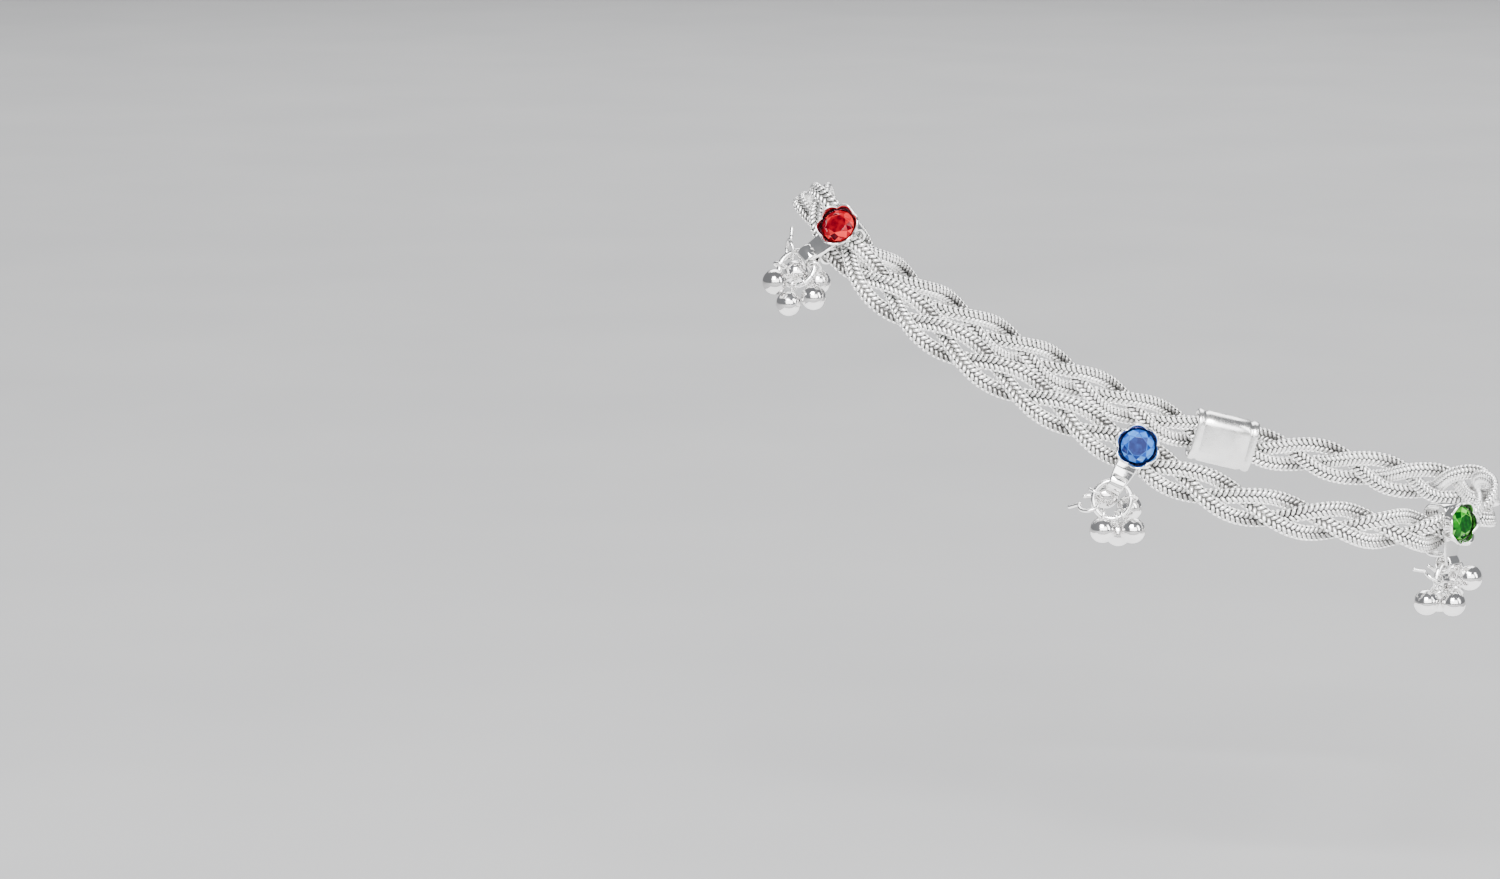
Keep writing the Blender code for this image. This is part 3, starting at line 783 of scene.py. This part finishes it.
def wire_piece(name, node, points, radius, matrix, mat, sides=18, ends=True):
    """A round wire through these points with rounded ends."""
    points = [np.array(p, dtype=float) for p in smooth_profile(points, 6)]
    ahead = np.gradient(np.array(points), axis=0)
    ahead /= np.linalg.norm(ahead, axis=1)[:, None]
    # carry a normal along without twist
    normal = np.cross(ahead[0], (0.3, 0.9, 0.2))
    normals = []
    for direction in ahead:
        normal = normal - normal.dot(direction) * direction
        normal = normal / np.linalg.norm(normal)
        normals.append(normal)
    scale = [1.0] * len(points)
    if ends:
        first, last = points[0], points[-1]
        head, tail = ahead[0], ahead[-1]
        caps = [(math.cos(a), math.sin(a)) for a in
                (math.radians(d) for d in (78, 55, 30))]
        points = ([first - head * radius * 0.9 * up for _, up in caps]
                  + points
                  + [last + tail * radius * 0.9 * up
                     for _, up in reversed(caps)])
        normals = [normals[0]] * 3 + normals + [normals[-1]] * 3
        scale = [w for w, _ in caps] + scale + [w for w, _ in reversed(caps)]
    verts, faces = sweep(points, normals, circle_section(radius, sides),
                         scale=np.array(scale))
    shape = Shape()
    shape.add(verts, faces, 0)
    return shape.build(name, node, [mat],
                       millimetres(matrix), 60)


def jump_ring(colour, ring):
    """A thick round wire bent to a ring whose ends meet behind."""
    points = []
    for i in range(49):
        turn = math.radians(64 + 1.6 + (360 - 3.2) * i / 48)
        points.append((RING_RADIUS * math.sin(turn),
                       0.02 * math.cos(math.pi * i / 48),
                       -RING_RADIUS * math.cos(turn)))
    wire_piece("open_ring_" + colour, "jump_ring_" + colour, points,
               RING_WIRE, ring, WIRE, sides=22, ends=False)


def wire_hook(colour, ring, at, tilt):
    angle = math.radians(at)
    radial = Vector((math.sin(angle), 0.0, -math.cos(angle)))
    tangent = Vector((math.cos(angle), 0.0, math.sin(angle)))
    tilt = math.radians(tilt)
    side = tangent * math.cos(tilt) + Vector((0, 1, 0)) * math.sin(tilt)
    normal = radial.cross(side)
    middle = radial * LOOP_REACH
    points = []
    for i in range(17):
        t = math.radians(-28 + i * 318 / 16)
        points.append(middle + (radial * math.cos(t) + side * math.sin(t))
                      * LOOP_RADIUS + normal * (-0.32 + 0.64 * i / 16))
    first = points[0]
    tail = (-side * 0.25 + radial * 1.0 + normal * -0.35).normalized()
    points = [first + tail * 1.6, first + tail * 0.6] + points
    wire_piece("thin_wire_loop_" + colour, "wire_loop_" + colour, points,
               LOOP_WIRE, ring, WIRE, sides=14)


def bell_place(ball, side):
    reach = math.sqrt(max(BELL_ARM ** 2 - ball.y ** 2, 0.0))
    flat = math.hypot(ball.x, ball.z)
    cosine = ((flat ** 2 + RING_RADIUS ** 2 - reach ** 2)
              / (2 * flat * RING_RADIUS))
    spread = math.acos(max(-1.0, min(1.0, cosine)))
    angle = math.atan2(ball.x, -ball.z) + side * spread
    eye = Vector((RING_RADIUS * math.sin(angle), 0.0,
                  -RING_RADIUS * math.cos(angle)))
    tangent = Vector((math.cos(angle), 0.0, math.sin(angle)))
    return eye, tangent


def ball_bell(colour, number, ring, ball, side):
    """A hollow ball of two pressed halves with a soldered wire eye."""
    eye, tangent = bell_place(ball, side)
    down = (ball - eye).normalized()
    across = (tangent - tangent.dot(down) * down).normalized()
    other = down.cross(across)
    place = Matrix(((other.x, across.x, -down.x, ball.x),
                    (other.y, across.y, -down.y, ball.y),
                    (other.z, across.z, -down.z, ball.z), (0, 0, 0, 1)))
    shape = Shape()
    profile = []
    steps = 40
    for i in range(steps + 1):
        polar = math.pi * i / steps
        degrees = math.degrees(polar)
        radius = BALL_RADIUS
        # the halves' seam, and a low collar of solder under the eye
        radius += 0.035 * math.exp(-((degrees - 90) / 2.6) ** 2)
        radius += 0.10 * math.exp(-(degrees / 13.0) ** 2)
        profile.append((max(radius * math.sin(polar), 0.0015),
                        radius * math.cos(polar)))
    verts, faces = lathe(profile, 44)
    verts = list(verts)
    # close the two poles
    count = len(verts)
    top = tuple(range(44))
    bottom = tuple(reversed(range(count - 44, count)))
    shape.add(verts, [tuple(reversed(f)) for f in faces] + [top, bottom], 0)
    hoop = [(EYE_RADIUS * math.sin(2 * math.pi * i / 32), 0.0,
             BELL_ARM - EYE_RADIUS * math.cos(2 * math.pi * i / 32))
            for i in range(32)]
    normals = [(p[0], 0.0, p[2] - BELL_ARM) for p in hoop]
    verts, faces = sweep(hoop, normals, circle_section(EYE_WIRE, 12),
                         closed=True)
    shape.add(verts, faces, 1)
    shape.build(f"ball_bell_{colour}_{number}", f"bell_{colour}_{number}",
                [BELL, WIRE], millimetres(ring @ place))


for colour, station in STATIONS.items():
    setting(colour, station["place"])
    cut_stone(colour, station["place"])
    ring = ring_matrix(station["place"])
    jump_ring(colour, ring)
    wire_hook(colour, ring, station["loop_at"], station["loop_tilt"])
    for number, (x, y, z, side) in enumerate(station["balls"], 1):
        ball_bell(colour, number, ring, Vector((x, y, z)), side)


# -------------------------------------------------------------- hidden clasp
def barrel_clasp():
    """A plain barrel with a rolled bead at each mouth, open where the plait
    goes in."""
    def outline(grow, radius):
        return rounded_rectangle(CLASP_THICK + 2 * grow, CLASP_WIDTH + 2 * grow,
                                 radius, 8)

    half = CLASP_LENGTH / 2
    mouth = (SOCKET_THICK - CLASP_THICK) / 2
    rows = [(-half + SOCKET_DEPTH, mouth, 1.35), (-half + 0.12, mouth, 1.35)]
    for i in range(7):
        turn = math.pi * i / 6
        rows.append((-half + 0.2 - 0.2 * math.sin(turn),
                     mouth / 2 - math.cos(turn) * -mouth / 2, 1.6))
    rows = [(-half + SOCKET_DEPTH, mouth, 1.2), (-half + 0.18, mouth, 1.2),
            (-half + 0.04, mouth + 0.10, 1.3), (-half, mouth * 0.6, 1.5),
            (-half + 0.06, mouth * 0.2, 1.75), (-half + 0.24, 0.0, 1.9),
            (-half + 0.75, 0.0, 1.9), (-half + 0.95, -0.14, 1.8),
            (-half + 1.1, -0.2, 1.75), (-half + 1.3, -0.14, 1.8),
            (-half + 1.6, 0.0, 1.9), (-half + 3.5, 0.02, 1.9)]
    rows = rows + [(-x, grow, radius) for x, grow, radius in reversed(rows)]
    verts = []
    for x, grow, radius in rows:
        verts += [(x, y, z) for y, z in outline(grow, radius)]
    size = len(outline(0, 1.9))
    faces = grid_faces(len(rows), size)
    faces.append(tuple(reversed(range(size))))
    faces.append(tuple((len(rows) - 1) * size + j for j in range(size)))
    shape = Shape()
    shape.add(verts, faces, 0)
    shape.build("barrel_clasp", "clasp", [SATIN],
                millimetres(station_matrix(clasp_at)), 60)


barrel_clasp()

# ------------------------------------------------------------ floor and light
floor_mesh = bpy.data.meshes.new("floor")
bm = bmesh.new()
bmesh.ops.create_grid(bm, x_segments=2, y_segments=2, size=4.0)
bm.to_mesh(floor_mesh)
bm.free()
floor = bpy.data.objects.new("floor", floor_mesh)
floor.location = (0, 1.5, FLOOR_Z)
bpy.context.scene.collection.objects.link(floor)
paper, nodes, links, shader = new_material("floor_paper")
coords = nodes.new("ShaderNodeTexCoord").outputs["Object"]
links.new(ramp(nodes, links, noise(nodes, links, coords, 14.0),
               [(0.3, (0.365, 0.365, 0.37)), (0.7, (0.39, 0.39, 0.392))]),
          shader.inputs["Base Color"])
shader.inputs["Roughness"].default_value = 0.75
shader.inputs["Specular IOR Level"].default_value = 0.2
floor_mesh.materials.append(paper)


def area(name, place, aim, size, power, size_y=None, colour=(1, 1, 1)):
    data = bpy.data.lights.new(name, "AREA")
    data.energy = power
    data.color = colour
    data.size = size
    if size_y:
        data.shape = "RECTANGLE"
        data.size_y = size_y
    light = bpy.data.objects.new(name, data)
    light.location = place
    light.rotation_euler = (Vector(aim) - Vector(place)).to_track_quat(
        "-Z", "Y").to_euler()
    bpy.context.scene.collection.objects.link(light)
    return light


area("key_light", (-0.20, -0.95, 0.95), (0, 0, 0), 0.55, 38.0)
area("front_light", (0.10, -1.15, 0.48), (0, 0, 0), 1.50, 24.0, 0.70)
area("side_light", (1.00, -0.60, 0.55), (0, 0, 0), 0.30, 10.0, 0.9)
area("back_light", (0.1, 1.1, 1.0), (0, 0.3, -0.06), 1.2, 22.0)
area("far_light", (0.0, 3.0, 1.9), (0, 2.8, -0.06), 3.0, 34.0)
# bright surroundings for the balls to mirror on their undersides
under = area("under_light", (0.0, 0.0, -0.052), (0.0, 0.0, 1.0), 0.26, 0.32,
             0.20)
under.visible_camera = False
under.visible_diffuse = False
world = bpy.data.worlds.new("studio")
bpy.context.scene.world = world
world.use_nodes = True
background = world.node_tree.nodes["Background"]
background.inputs["Color"].default_value = (0.80, 0.82, 0.86, 1.0)
background.inputs["Strength"].default_value = 0.34

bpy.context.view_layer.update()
